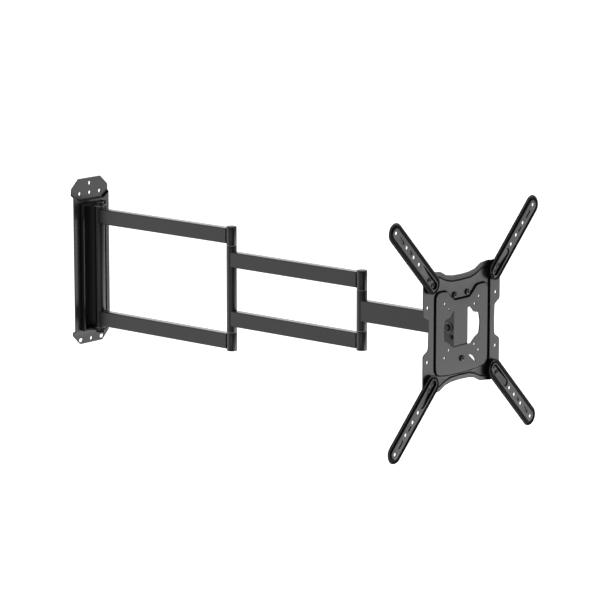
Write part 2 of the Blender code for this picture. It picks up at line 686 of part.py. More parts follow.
def build_adapters(head_axis):
    for vertical, level in (("top", 1), ("bottom", -1)):
        for horizontal, side in (("left", -1), ("right", 1)):
            corner = f"{vertical}_{horizontal}"
            adapter_arm(f"adapter_{corner}_arm", side, level, head_axis)
            for label, reach in zip(("inner", "outer"), ADAPTER_SCREWS):
                build_adapter_screw(f"adapter_{corner}_{label}_screw", side, level, reach, head_axis)


def build_adapter_screw(name, side, level, reach, parent):
    """A button-head screw on the recess floor, with its nut behind the plate."""
    spot = reach * math.sqrt(0.5)
    floor = ADAPTER_FRONT + ADAPTER_DEPTH - ADAPTER_T - GAP
    back = HEAD_FRONT + HEAD_T + GAP
    profile = [(3.4, floor - 2.6), (5.2, floor - 1.2), (5.2, floor), (2.7, floor),
               (2.7, back), (4.6, back), (4.6, back + 4.0)]
    profile = [(r, y - HEAD_FRONT) for r, y in profile]
    turned(name, profile, "black_oxide_steel", parent, (side * spot, HEAD_FRONT, level * spot),
           "Y", 12)


def main():
    clear_scene()
    build_wall_bracket()
    arm3 = build_arms()
    yoke_axis = build_swivel(arm3)
    tilt_axis = build_tilt(yoke_axis)
    head_axis = build_head(tilt_axis)
    build_adapters(head_axis)


main()
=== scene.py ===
"""Looks for the full-motion television wall mount: pressed sheets, turned posts, satin black coat.

Lengths are in millimetres until a mesh is made. The frame is the CAD's: +X along the wall, +Y into
the wall, +Z up, with the origin on the wall face at the height of the arms' middle.
"""
import json
import math

import bmesh
import bpy
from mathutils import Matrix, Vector
from mathutils.geometry import delaunay_2d_cdt


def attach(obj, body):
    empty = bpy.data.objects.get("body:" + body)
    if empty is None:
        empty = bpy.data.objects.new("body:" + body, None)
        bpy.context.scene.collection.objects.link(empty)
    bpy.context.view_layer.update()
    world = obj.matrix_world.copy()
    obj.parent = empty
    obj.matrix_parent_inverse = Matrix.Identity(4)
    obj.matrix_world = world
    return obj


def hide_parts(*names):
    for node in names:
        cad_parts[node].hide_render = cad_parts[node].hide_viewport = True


MM = 0.001
DIAGONAL = math.sqrt(0.5)

# Head plate. Its ears and panel stand HEAD_STEP in front of the rest.
HEAD_FRONT = -939.2
HEAD_T = 2.2
HEAD_STEP = 3.5
EAR_X = 112.0
EAR_EDGE = 83.5
EAR_TOP = 112.0
PANEL_EDGE = 75.0
PANEL_SLOPE = 3.2
HEAD_HOLES = ((100.0, 50.0, 3.2), (50.0, 50.0, 2.6), (37.5, 37.5, 2.6))  # x, z, radius
SCREW_HOLE_R = 3.1
LEVEL_HOLE_R = 3.3
BRACKET_T = 2.5
LEVEL_PIVOT_Z = -58.0
LEVEL_LOCK = (18.5, 62.0)

# Adapter arms, along their own length from the head's centre.
ADAPTER_FRONT = -946.7
ADAPTER_T = 1.6
ADAPTER_DEPTH = 7.2
ADAPTER_HALF = 19.0
ADAPTER_ENDS = (131.0, 281.5)
ADAPTER_SCREWS = (127.0, 142.0)
EDGE_DEPTH = 2.6
RIM_DEPTH = 0.85
STRIP_HALF = 8.5
STRIP_REACH = (118.6, 290.0)
POCKET = (127.5, 173.5)
POCKET_R = (7.6, 5.7)
POCKET_DEPTH = 4.2
POCKET_END_DEPTH = 2.2
POCKET_KINK = 150.0
GROOVES = ((255.0, 267.0), (223.5, 228.5))
GROOVE_R = (2.8, 1.6)
GROOVE_DEPTH = 1.3
TV_HOLES = [half / DIAGONAL for half in (135.0, 150.0, 170.0, 200.0)]
TV_HOLE_R = 3.3

# Bolts with a domed head and a hexagon socket, in front, and a hexagon nut behind.
# DOME_SHARES are a head's widths and depths as shares of its radius and its height.
BUTTON_SCREW = {"head": (5.0, 2.6), "shank": 2.7, "nut": (4.5, 4.0), "socket": (1.7, 1.6)}
LEVEL_BOLT = {"head": (5.6, 2.8), "shank": 2.9, "nut": (5.2, 4.5), "socket": (2.1, 1.8)}
DOME_SHARES = ((1.0, 0.468), (0.94, 0.162), (0.8, 0.0))
NUT_CHAMFER = 0.6

# Wall bracket. The plate's body stands PLATE_STEP in front of its tabs.
PLATE_FRONT = -7.8
PLATE_T = 2.8
PLATE_STEP = 5.0
PLATE_HALF = 48.8
TAB_HALF = 50.5
UPPER_BEND = 147.5
LOWER_BEND = -132.0
BEND_STEPS = (0.0, 0.25, 0.5, 0.75, 1.0)
CHANNEL_HALF = 33.0
CHANNEL_T = 2.4
CHANNEL_FRONT = -17.0
CHANNEL_END = 128.0
CHANNEL_BENDS = (4.0, 2.0)
WALL_HOLE_R = 3.8
PAD = (1.3, 4.7)
PAD_R = 29.0
PAD_SLOPE = 9.0

# Arms. An elbow's sleeve ends just under split, its knuckles begin over it with a bush's flange
# between them, and its caps end at top.
POST_R = 10.0
PIVOT_BORE = 7.3
KNUCKLE_BORE = 5.3
CAP_STEM_R = 5.0
CAP_T = 2.2
BUSH_FLANGE = 1.2
WALL_AXIS = -29.0
WALL_PIVOT_TOP = 121.0
ELBOWS = (
    {"name": "elbow1", "outer": 1, "inner": 2, "y": -379.5, "split": 84.5, "top": 121.5},
    {"name": "elbow2", "outer": 2, "inner": 3, "y": -703.5, "split": 38.5, "top": 75.8},
)
GAP = 0.3

# The lean in degrees from which a pressed wall gets the painted-shade coat, near black where its shade
# falls.
HEAD_PAINTED_SHADE_LEAN = 9.0
PLATE_PAINTED_SHADE_LEAN = 25.0
ADAPTER_PAINTED_SHADE_LEAN = 35.0

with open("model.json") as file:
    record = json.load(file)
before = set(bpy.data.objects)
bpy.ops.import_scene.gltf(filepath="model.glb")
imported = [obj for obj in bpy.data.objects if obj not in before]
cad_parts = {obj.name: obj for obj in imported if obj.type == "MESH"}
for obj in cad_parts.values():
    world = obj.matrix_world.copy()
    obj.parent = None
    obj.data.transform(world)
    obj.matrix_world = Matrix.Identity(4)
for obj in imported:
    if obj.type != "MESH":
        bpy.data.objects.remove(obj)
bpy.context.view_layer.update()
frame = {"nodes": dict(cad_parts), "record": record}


# ---------------------------------------------------------------- materials

class Nodes:
    """A short way to add and join shader nodes in one material or world."""

    def __init__(self, tree):
        self.tree = tree

    def add(self, kind, **inputs):
        node = self.tree.nodes.new(kind)
        for name, value in inputs.items():
            self.put(node, name, value)
        return node

    def put(self, node, name, value):
        """Sets or links an input, named with _ for spaces or numbered as i0, i1, ..."""
        key = int(name[1:]) if name[1:].isdigit() else name.replace("_", " ")
        socket = node.inputs[key]
        if isinstance(value, bpy.types.NodeSocket):
            self.tree.links.new(value, socket)
        else:
            socket.default_value = value

    def math(self, operation, a, b=0.0):
        node = self.add("ShaderNodeMath", i0=a, i1=b)
        node.operation = operation
        return node.outputs[0]

    def ramp(self, source, stops):
        node = self.add("ShaderNodeValToRGB", Fac=source)
        elements = node.color_ramp.elements
        while len(elements) < len(stops):
            elements.new(0.5)
        for element, (place, level) in zip(elements, stops):
            element.position = place
            colour = level if isinstance(level, tuple) else (level, level, level)
            element.color = (*colour, 1.0)
        return node.outputs["Color"]

    def noise(self, scale, detail=2.0, roughness=0.5):
        place = self.add("ShaderNodeTexCoord").outputs["Object"]
        node = self.add("ShaderNodeTexNoise", Vector=place, Scale=scale, Detail=detail,
                        Roughness=roughness)
        return node.outputs["Fac"]


def surface(name, dark, light, rough, grain, bump, metallic=0.0, specular=0.5):
    """A surface whose colour and roughness wander a little, with a fine moulded or sprayed grain.

    rough is (lowest, highest). grain is the texture's scale in cells per metre.
    """
    material = bpy.data.materials.new(name)
    material.use_nodes = True
    nodes = Nodes(material.node_tree)
    shader = material.node_tree.nodes["Principled BSDF"]
    broad = nodes.noise(14.0, 3.0)
    fine = nodes.noise(grain, 2.0, 0.6)
    colour = nodes.ramp(broad, [(0.3, dark), (0.7, light)])
    gloss = nodes.math("MULTIPLY_ADD", nodes.math("ADD", broad, fine), (rough[1] - rough[0]) / 2)
    gloss.node.inputs[2].default_value = rough[0]
    relief = nodes.add("ShaderNodeBump", Height=fine, Strength=bump, Distance=0.0002)
    nodes.put(shader, "Base Color", colour)
    nodes.put(shader, "Roughness", gloss)
    nodes.put(shader, "Normal", relief.outputs[0])
    nodes.put(shader, "Metallic", metallic)
    nodes.put(shader, "Specular IOR Level", specular)
    return material


MATERIALS = {
    "black_powder_coat": surface("satin_black_powder_coat", (0.016, 0.016, 0.0165),
                                 (0.021, 0.021, 0.0215), (0.24, 0.34), grain=1100.0,
                                 bump=0.1),
    # Painted shade: a near-black, dull coat standing in for the shade on the pressed walls, the adapter
    # arms' borders and the channel's inside. Those surfaces have the same satin black coat as the rest.
    "painted_shade_coat": surface("painted_shade_powder_coat", (0.002, 0.002, 0.002), (0.003, 0.003, 0.003),
                           (0.5, 0.6), grain=1100.0, bump=0.05, specular=0.08),
    "black_plastic": surface("moulded_black_plastic", (0.011, 0.011, 0.0115),
                             (0.016, 0.016, 0.0165), (0.38, 0.5), grain=2200.0, bump=0.25),
    "black_oxide_steel": surface("black_oxide_steel", (0.035, 0.035, 0.037),
                                 (0.055, 0.055, 0.057), (0.26, 0.38), grain=2600.0, bump=0.08,
                                 metallic=0.9),
    "grey_nylon": surface("grey_nylon", (0.2, 0.2, 0.19), (0.25, 0.25, 0.24), (0.4, 0.5),
                          grain=1800.0, bump=0.15),
}


# ---------------------------------------------------------------- outlines

def arc(cx, cy, radius, start, end, steps):
    """Points along an arc, both ends with them. start and end are in degrees."""
    angles = [math.radians(start + (end - start) * i / steps) for i in range(steps + 1)]
    return [(cx + radius * math.cos(a), cy + radius * math.sin(a)) for a in angles]


def circle(cx, cy, radius, steps=32):
    """A closed circle, without the repeated last point of its arc."""
    return arc(cx, cy, radius, 0, 360, steps)[:-1]


def stadium(x0, x1, radius, steps=16, cy=0.0):
    """A slot's outline, with its round ends about x0 and x1."""
    return arc(x1, cy, radius, -90, 90, steps) + arc(x0, cy, radius, 90, 270, steps)


def fillet(corners, closed=True, steps=6):
    """Rounds an outline's corners. Each corner is (x, y, radius)."""
    points = []
    count = len(corners)
    for i, (x, y, radius) in enumerate(corners):
        here = Vector((x, y))
        if not closed and i in (0, count - 1) or radius <= 0:
            points.append((x, y))
            continue
        back = Vector(corners[i - 1][:2]) - here
        ahead = Vector(corners[(i + 1) % count][:2]) - here
        turn = math.pi - back.angle(ahead)
        reach = min(radius * math.tan(turn / 2), back.length * 0.49, ahead.length * 0.49)
        start, end = here + back.normalized() * reach, here + ahead.normalized() * reach
        for k in range(steps + 1):
            t = k / steps
            points.append(tuple(start * (1 - t) ** 2 + here * 2 * t * (1 - t) + end * t ** 2))
    return points


def mirrored(half):
    """A closed outline from its right half, listed from the top centre to the bottom centre."""
    left = [(-point[0], *point[1:]) for point in reversed(half) if abs(point[0]) > 1e-6]
    return list(half) + left


def inside(point, loop):
    """Whether a point is inside a closed loop."""
    x, y = point
    hit = False
    for (x0, y0), (x1, y1) in zip(loop, loop[1:] + loop[:1]):
        if (y0 > y) != (y1 > y) and x < (x1 - x0) * (y - y0) / (y1 - y0) + x0:
            hit = not hit
    return hit


def offset(loop, distance):
    """A closed loop pushed outwards by distance, corner by corner."""
    area = sum(a[0] * b[1] - b[0] * a[1] for a, b in zip(loop, loop[1:] + loop[:1]))
    side = 1.0 if area > 0 else -1.0
    moved = []
    for i, point in enumerate(loop):
        before, after = Vector(loop[i - 1]), Vector(loop[(i + 1) % len(loop)])
        here = Vector(point)
        a, b = (here - before).normalized(), (after - here).normalized()
        normal = Vector((a.y + b.y, -a.x - b.x)) * side
        normal.normalize()
        stretch = 1.0 / max(0.5, normal.dot(Vector((a.y, -a.x)) * side))
        moved.append(tuple(here + normal * distance * stretch))
    return moved


def flat(points, depth=0.0):
    """The points of an outline, all at one depth behind the front."""
    return [(x, z, depth) for x, z in points]


# ---------------------------------------------------------------- meshes

def finish_piece(name, bm, finish, body, node, smooth=40.0):
    """Makes a named piece from a mesh in millimetres, in place of a CAD node, riding on a body."""
    bmesh.ops.scale(bm, vec=(MM, MM, MM), verts=bm.verts)
    mesh = bpy.data.meshes.new(name)
    bm.to_mesh(mesh)
    bm.free()
    mesh.shade_smooth()
    mesh.set_sharp_from_angle(angle=math.radians(smooth))
    mesh.materials.append(MATERIALS[finish])
    piece = bpy.data.objects.new(name, mesh)
    bpy.context.collection.objects.link(piece)
    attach(piece, body)
    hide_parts(node)
    return piece


def soften(piece, width, segments=2, angle=35.0):
    """Rounds a piece's edges a little, and keeps its flats flat to the eye."""
    bevel = piece.modifiers.new("edges", "BEVEL")
    bevel.width = width * MM
    bevel.segments = segments
    bevel.limit_method = "ANGLE"
    bevel.angle_limit = math.radians(angle)
    bevel.harden_normals = False
    weighted = piece.modifiers.new("flats", "WEIGHTED_NORMAL")
    weighted.keep_sharp = False
    weighted.weight = 90


def loft(bm, rings, close=False):
    """Skins the rings in turn, then closes the last to the first or caps both ends."""
    loops = [[bm.verts.new(p) for p in ring] for ring in rings]
    pairs = list(zip(loops, loops[1:]))
    if close:
        pairs.append((loops[-1], loops[0]))
    for a, b in pairs:
        for i in range(len(a)):
            j = (i + 1) % len(a)
            bm.faces.new((a[i], a[j], b[j], b[i]))
    if not close:
        bm.faces.new(loops[0][::-1])
        bm.faces.new(loops[-1])


def hexagon(radius, segments):
    """A hexagon, radius to its flats, with as many points as a circle of that many segments."""
    points = []
    for x, y in circle(0, 0, radius, segments):
        angle = math.degrees(math.atan2(y, x)) % 60
        stretch = 1 / math.cos(math.radians(angle if angle < 30 else angle - 60))
        points.append((x * stretch, y * stretch))
    return points


def lathe(name, profile, finish, body, at, node, axis="Z", segments=64, hollow=False, hexed=()):
    """A piece turned about Z or Y. The profile is (radius, height), or a closed loop if hollow.

    hexed holds the places in the profile whose ring is a hexagon.
    """
    bm = bmesh.new()
    rings = []
    for index, (radius, height) in enumerate(profile):
        outline = hexagon(radius, segments) if index in hexed else circle(0, 0, radius, segments)
        ring = []
        for x, y in outline:
            point = (x, y, height) if axis == "Z" else (y, height, x)
            ring.append(tuple(p + q for p, q in zip(point, at)))
        rings.append(ring)
    loft(bm, rings, close=hollow)
    bmesh.ops.recalc_face_normals(bm, faces=bm.faces)
    finish_piece(name, bm, finish, body, node)


def darken(piece, front, dark):
    """Gives some faces the painted-shade coat, a near-black stand-in for the shade in the pressings.

    dark(x, z, depths, lean) says which: the face's centre, its corners' depths behind the front
    and how far it leans from the front, in degrees.
    """
    piece.data.materials.append(MATERIALS["painted_shade_coat"])
    corners = piece.data.vertices
    for face in piece.data.polygons:
        lean = math.degrees(math.acos(max(-1.0, min(1.0, -face.normal.y))))
        depths = [corners[i].co.y / MM - front for i in face.vertices]
        if dark(face.center.x / MM, face.center.z / MM, depths, lean):
            face.material_index = 1


def sheet(name, outline, thickness, body, front, creases, holes, node, dark, turn=None, edge=0.3):
    """A pressed sheet in the XZ plane that faces -Y.

    outline and holes are closed lines of (x, z, depth), with depth counted back from front. A
    crease is (line, closed). turn maps (x, z) to its place, for sheets drawn along their own axis.
    dark says which faces have the painted-shade coat, as in darken.
    """
    points, edges, depths = [], [], []

    def add_line(line, closed):
        first = len(points)
        for x, z, depth in line:
            points.append(Vector((x, z)))
            depths.append(depth)
        count = len(line)
        for i in range(count if closed else count - 1):
            edges.append((first + i, first + (i + 1) % count))

    add_line(outline, True)
    for line, closed in creases:
        add_line(line, closed)
    for hole in holes:
        add_line(hole, True)
    coords, _, faces, origins, _, _ = delaunay_2d_cdt(points, edges, [], 0, 1e-6)
    outer = [(x, z) for x, z, _ in outline]
    inner = [[(x, z) for x, z, _ in hole] for hole in holes]
    bm = bmesh.new()
    verts = []
    for co, origin in zip(coords, origins):
        if not origin:
            raise ValueError(f"{name}: two lines cross at {co.x:.2f}, {co.y:.2f}")
        x, z = turn(co.x, co.y) if turn else (co.x, co.y)
        verts.append(bm.verts.new((x, front + depths[origin[0]], z)))
    for face in faces:
        centre = sum(coords[i].x for i in face) / len(face), sum(coords[i].y for i in face) / len(face)
        if inside(centre, outer) and not any(inside(centre, hole) for hole in inner):
            bm.faces.new([verts[i] for i in face])
    bmesh.ops.delete(bm, geom=[v for v in bm.verts if not v.link_faces], context="VERTS")
    bmesh.ops.recalc_face_normals(bm, faces=bm.faces)
    if sum(face.normal.y * face.calc_area() for face in bm.faces) > 0:
        bmesh.ops.reverse_faces(bm, faces=bm.faces)
    piece = finish_piece(name, bm, "black_powder_coat", body, node, smooth=60.0)
    solidify = piece.modifiers.new("sheet", "SOLIDIFY")
    solidify.thickness = thickness * MM
    solidify.offset = -1.0
    solidify.use_even_offset = True
    solidify.use_quality_normals = True
    darken(piece, front, dark)
    soften(piece, edge, angle=50.0)


def ring_loop(bore, low, high, ease=0.5):
    """The section of a post's ring or tube, with its outer edges eased."""
    r, bit = POST_R, 0.3 * ease
    return [(r - ease, low), (r - bit, low + bit), (r, low + ease), (r, high - ease),
            (r - bit, high - bit), (r - ease, high), (bore, high), (bore, low)]


def smooth_step(t):
    """A press wall's depth at t of the way over it."""
    return t * t * (3 - 2 * t)


# ---------------------------------------------------------------- head

def head_outline():
    """The plate's edge, with the ears raised and the top and bottom edges behind."""
    top = [(0, 97.5, 0), (24, 98.3, 60), (43, 101.5, 14), (60, 110, 14), (EAR_EDGE, EAR_TOP, 0)]
    ear = [(EAR_EDGE, EAR_TOP, 0), (EAR_X, EAR_TOP, 11), (EAR_X, 37, 7), (97, 28, 7), (96, 0, 0)]
    foot = EAR_EDGE - HEAD_STEP
    right = [(x, z) for x, z in fillet(top, closed=False) if x < foot]
    half = flat(right, HEAD_STEP) + [(foot, EAR_TOP, HEAD_STEP)] + flat(fillet(ear, closed=False))
    low = [(x, -z, d) for x, z, d in reversed(half) if z > 0]
    return mirrored(half + low)


def panel_outline():
    """The raised panel, with a dip in its top edge for the lock bolts."""
    half = [
        (0, 52, 0), (22, 52, 12), (35, 62, 10), (44, 71, 12), (PANEL_EDGE, 72.5, 13),
        (PANEL_EDGE, -78, 15), (40, -82.5, 40), (0, -83.5, 0),
    ]
    return fillet(mirrored(half), steps=8)


def opening_outline():
    """The window in the panel's middle."""
    half = [
        (0, 34, 0), (25, 34, 3), (36, 22.5, 8), (50, 20, 6), (54, 2, 30), (51, -19, 6),
        (40, -24, 10), (27, -34, 3), (0, -34, 0),
    ]
    return fillet(mirrored(half), steps=6)


def crescent():
    """A slanted, pointed and slightly bowed slot in the lower right of the panel."""
    half_width, bend = 2.6, 2.0
    (x0, z0), (x1, z1) = (20.5, -54.5), (42.5, -71.5)
    length = math.hypot(x1 - x0, z1 - z0)
    ux, uz = (x1 - x0) / length, (z1 - z0) / length
    points = []
    for sign, order in ((1, range(13)), (-1, range(11, 0, -1))):
        for i in order:
            t = i / 12
            bow = (half_width * sign + bend) * math.sin(math.pi * t)
            points.append((x0 + ux * length * t - uz * bow, z0 + uz * length * t + ux * bow))
    return points


def head_holes():
    """The window, the slanted slot, and round holes for the television, arms and level bolts."""
    screws = [(reach * DIAGONAL, reach * DIAGONAL, SCREW_HOLE_R) for reach in ADAPTER_SCREWS]
    holes = [flat(opening_outline()), flat(crescent()), flat(circle(0, LEVEL_PIVOT_Z, LEVEL_HOLE_R))]
    for side in (-1, 1):
        for level in (-1, 1):
            for x, z, radius in (*HEAD_HOLES, *screws):
                holes.append(flat(circle(side * x, level * z, radius)))
        x, z = LEVEL_LOCK
        holes.append(flat(circle(side * x, z, LEVEL_HOLE_R), HEAD_STEP))
    return holes


def head_walls(steps=5):
    """The press walls round the panel and beside the ears, as lines that go down them."""
    creases = []
    for k in range(steps + 1):
        t = k / steps
        depth = HEAD_STEP * smooth_step(t)
        creases.append((flat(offset(panel_outline(), PANEL_SLOPE * t), depth), True))
        for side in (-1, 1):
            x = side * (EAR_EDGE - HEAD_STEP * t)
            line = [(x, z, depth) for z in (EAR_TOP, 75, 40, 0, -40, -75, -EAR_TOP)]
            creases.append((line, False))
    return creases


def head_beads():
    """A thin raised bead along the top edge and one along the bottom edge."""
    bead = ((0.0, 0.0), (0.8, 0.7), (1.6, 1.3), (2.4, 0.7), (3.2, 0.0))
    run = ((0, -7.5), (27, -6.7), (43, -3), (62, 5.5), (74, 6.5))
    creases = []
    for level, height in ((1, 96.0), (-1, 98.0)):
        for drop, rise in bead:
            line = [(x, level * (height + z - drop), HEAD_STEP - rise) for x, z in run]
            creases.append(([(-x, z, d) for x, z, d in reversed(line[1:])] + line, False))
    return creases


def head_plate():
    # Painted shade on the steeply leaning press walls round the panel and beside the ears.
    sheet("head_plate_pressed", head_outline(), HEAD_T, "head", HEAD_FRONT,
          head_walls() + head_beads(), head_holes(), "head_plate",
          lambda x, z, depths, lean: lean > HEAD_PAINTED_SHADE_LEAN)


def adapter_ring(inset, depth):
    """The arm's outline, inset by that much at its sides and by 0.7 of it at its inner end."""
    start, end = ADAPTER_ENDS
    return flat(stadium(start - 0.3 * inset, end, ADAPTER_HALF - inset, 20), depth)


def adapter_pocket(t):
    """The pocket's wall at t of the way down. Its floor rises towards the outer end."""
    start, end = POCKET
    radius = POCKET_R[0] + (POCKET_R[1] - POCKET_R[0]) * t
    down = smooth_step(t)
    depth = POCKET_DEPTH * down
    line = flat(arc(start, 0, radius, 90, 270, 14), depth) + [(POCKET_KINK, -radius, depth)]
    line += flat(arc(end, 0, radius, -90, 90, 14), POCKET_END_DEPTH * down)
    line += [(POCKET_KINK, radius, depth)]
    return line


def adapter_creases():
    """The raised rim, the pocket for the two screws and the short blind grooves."""
    section = [(0.15, 2.0), (0.5, 1.4), (0.9, 1.0), (1.3, RIM_DEPTH), (1.9, RIM_DEPTH), (2.8, 1.4),
               (4.2, 2.0), (6.2, 2.0), (7.6, 1.3), (8.6, 0.4), (9.5, 0.0)]  # inset, depth
    lines = [adapter_ring(inset, depth) for inset, depth in section]
    lines += [adapter_pocket(k / 5) for k in range(6)]
    creases = [(line, True) for line in lines]
    across = [(POCKET_KINK, side * POCKET_R[1], POCKET_DEPTH) for side in (1, -1)]
    creases.append((across, False))
    for x0, x1 in GROOVES:
        for k in range(4):
            t = k / 3
            radius = GROOVE_R[0] + (GROOVE_R[1] - GROOVE_R[0]) * t
            line = flat(stadium(x0, x1, radius, 8), GROOVE_DEPTH * smooth_step(t))
            creases.append((line, True))
    return creases


def adapter_arm(name, side, level, node):
    """A pressed strip on one diagonal of the head, drawn along its length."""

    def turn(s, v):
        return side * DIAGONAL * (s - v), level * DIAGONAL * (s + v)

    def dark(x, z, depths, lean):
        """Painted shade on both borders but for their crest; of the pocket and grooves only on the
        walls.
        """
        s, v = DIAGONAL * (side * x + level * z), DIAGONAL * (level * z - side * x)
        if abs(v) < STRIP_HALF and STRIP_REACH[0] < s < STRIP_REACH[1]:
            return lean > ADAPTER_PAINTED_SHADE_LEAN
        crest = max(abs(depth - RIM_DEPTH) for depth in depths) < 0.02
        return max(depths) > 0.05 and not crest

    holes = [flat(circle(s, 0, SCREW_HOLE_R, 24), POCKET_DEPTH) for s in ADAPTER_SCREWS]
    holes += [flat(circle(s, 0, TV_HOLE_R, 24)) for s in TV_HOLES]
    sheet(name, adapter_ring(0, EDGE_DEPTH), ADAPTER_T, "head", ADAPTER_FRONT, adapter_creases(),
          holes, node, dark, turn)


def bolt(name, node, x, z, face, back, size):
    """A bolt through the head, along Y: its head stands in front of face, its nut behind back."""
    radius, height = size["head"]
    nut_radius, nut_height = size["nut"]
    socket_radius, socket_depth = size["socket"]
    outer, end = face - height, back + nut_height
    nut = [(nut_radius * 0.93, end), (nut_radius, end - NUT_CHAMFER), (nut_radius, back)]
    shank = [(size["shank"], back), (size["shank"], face)]
    dome = [(radius, face)]
    dome += [(radius * wide, outer + down * height) for wide, down in DOME_SHARES]
    socket = [(socket_radius, outer), (socket_radius, outer + socket_depth),
              (0.3, outer + 1.2 * socket_depth)]
    lathe(name, nut + shank + dome + socket, "black_oxide_steel", "head", (x, 0, z), node, "Y", 48,
          hexed=(1, 2, 9, 10))


def adapter_screws(corner, side, level):
    """The two screws that clamp an arm to the head plate."""
    face = ADAPTER_FRONT + ADAPTER_DEPTH - ADAPTER_T - GAP
    back = HEAD_FRONT + HEAD_T + GAP
    for label, reach in zip(("inner", "outer"), ADAPTER_SCREWS):
        bolt(f"adapter_{corner}_{label}_button_screw", f"adapter_{corner}_{label}_screw",
             side * reach * DIAGONAL, level * reach * DIAGONAL, face, back, BUTTON_SCREW)


def level_bolts():
    """The bolt that the head turns on to level it, and the two that lock it."""
    lock_x, lock_z = LEVEL_LOCK
    spots = (("pivot", 0, LEVEL_PIVOT_Z, 0.0), ("left", -lock_x, lock_z, HEAD_STEP),
             ("right", lock_x, lock_z, HEAD_STEP))
    for label, x, z, depth in spots:
        face = HEAD_FRONT + depth - GAP
        back = HEAD_FRONT + HEAD_T + 2 * GAP + BRACKET_T + depth
        node = f"level_{label}_bolt"
        bolt(f"{node}_detail", node, x, z, face, back, LEVEL_BOLT)


def build_head():
    head_plate()
    for vertical, level in (("top", 1), ("bottom", -1)):
        for horizontal, side in (("left", -1), ("right", 1)):
            corner = f"{vertical}_{horizontal}"
            adapter_arm(f"adapter_{corner}_strip", side, level, f"adapter_{corner}_arm")
            adapter_screws(corner, side, level)
    level_bolts()


# ---------------------------------------------------------------- wall bracket

def wall_bends():
    """The two bends between the body and the tabs, as lines that run from the tab to the body.

    A line's first point is on the plate's edge. The upper bend slants down beside the channel.
    """
    upper, lower = [], []
    for t in BEND_STEPS:
        edge = TAB_HALF + (PLATE_HALF - TAB_HALF) * t
        depth = PLATE_STEP * smooth_step(1 - t)
        upper.append([(edge, UPPER_BEND - 4 * t, depth), (33 + t, 136 - 3.4 * t, depth)])
        lower.append([(edge, LOWER_BEND + 3.4 * t, depth)])
    return upper, lower


def wall_holes():
    """Round screw holes, and two slots at the lower tab's corners."""
    low, slot_half = -148, 2
    spots = [(0, 166), (0, low)] + [(k * 28.0, 147) for k in (-1, 0, 1)]
    holes = [circle(x, z, WALL_HOLE_R) for x, z in spots]
    holes += [stadium(x - slot_half, x + slot_half, WALL_HOLE_R, 16, low) for x in (-29.5, 29.5)]
    return [flat(hole, PLATE_STEP) for hole in holes]


def wall_plate():
    """One pressed sheet: two tabs on the wall and, between them, the body standing in front.

    A round pad in the body is pressed back to the wall.
    """
    upper, lower = wall_bends()
    tab = [(0, 177, 0), (30.5, 177, 3), (TAB_HALF, 158.5, 2), (TAB_HALF, UPPER_BEND, 0)]
    foot = [(TAB_HALF, LOWER_BEND, 0), (TAB_HALF, -137, 2), (31, -156, 5), (0, -156, 0)]
    half = flat(fillet(tab, closed=False)[:-1], PLATE_STEP) + [line[0] for line in upper]
    half += [line[0] for line in reversed(lower)]
    half += flat(fillet(foot, closed=False)[1:], PLATE_STEP)
    creases = [(line + [(-x, z, d) for x, z, d in reversed(line)], False) for line in upper + lower]
    for t in BEND_STEPS:
        wall = circle(*PAD, PAD_R - PAD_SLOPE * t)
        creases.append((flat(wall, PLATE_STEP * smooth_step(t)), True))

    def dark(x, z, depths, lean):
        """Painted shade on the upper bend beside the channel."""
        return lean > PLATE_PAINTED_SHADE_LEAN and abs(x) > CHANNEL_HALF and z > 0

    sheet("wall_plate_pressed", mirrored(half), PLATE_T, "wall_bracket", PLATE_FRONT, creases,
          wall_holes(), "wall_plate", dark, edge=0.4)


def wall_channel():
    """A folded channel with round bends. Its floor and inner walls behind the front lip, deep behind
    the pivot, have the painted-shade coat: near black, painted shade for its hollow.
    """
    half, front, back = CHANNEL_HALF, CHANNEL_FRONT, PLATE_FRONT - GAP
    thin, floor = half - CHANNEL_T, back - CHANNEL_T
    outer_bend, inner_bend = CHANNEL_BENDS
    outer = [(-half, front, 0), (-half, back, outer_bend), (half, back, outer_bend), (half, front, 0)]
    inner = [(thin, front, 0), (thin, floor, inner_bend), (-thin, floor, inner_bend), (-thin, front, 0)]
    section = fillet(outer, closed=False) + fillet(inner, closed=False)
    bm = bmesh.new()
    loft(bm, [[(x, y, level) for x, y in section] for level in (-CHANNEL_END, CHANNEL_END)])
    bmesh.ops.recalc_face_normals(bm, faces=bm.faces)
    piece = finish_piece("wall_channel_folded", bm, "black_powder_coat", "wall_bracket", "wall_channel")
    piece.data.materials.append(MATERIALS["painted_shade_coat"])
    side_skin, lip, back_skin = 0.6, 2.5, 0.5  # kept in the plain coat
    # The channel's inner faces behind the lip get the painted shade.
    for face in piece.data.polygons:
        x, y, _ = face.center / MM
        within = abs(x) < half - side_skin and front + lip < y < back - back_skin
        if within and face.normal.z < 0.5:
            face.material_index = 1
    soften(piece, 0.5, segments=3)


def build_wall_bracket():
    wall_plate()
    wall_channel()


# ---------------------------------------------------------------- arms

def post(name, bore, low, high, body, y, node):
    """A round tube about a pivot's axis."""
    lathe(name, ring_loop(bore, low, high), "black_powder_coat", body, (0, y, 0), node, hollow=True)


def end_cap(name, sign, top, body, y, node):
    """A plug with a dished end. Its stem reaches into the knuckle under it."""
    under, r = top - CAP_T, POST_R
    profile = [(CAP_STEM_R, under - 2.0), (CAP_STEM_R, under), (r, under), (r, top - 0.9),
               (r - 0.3, top - 0.3), (r - 1.0, top), (r - 3.0, top), (r - 3.3, top - 0.4)]
    lathe(name, [(radius, sign * height) for radius, height in profile], "black_plastic", body,
          (0, y, 0), node)


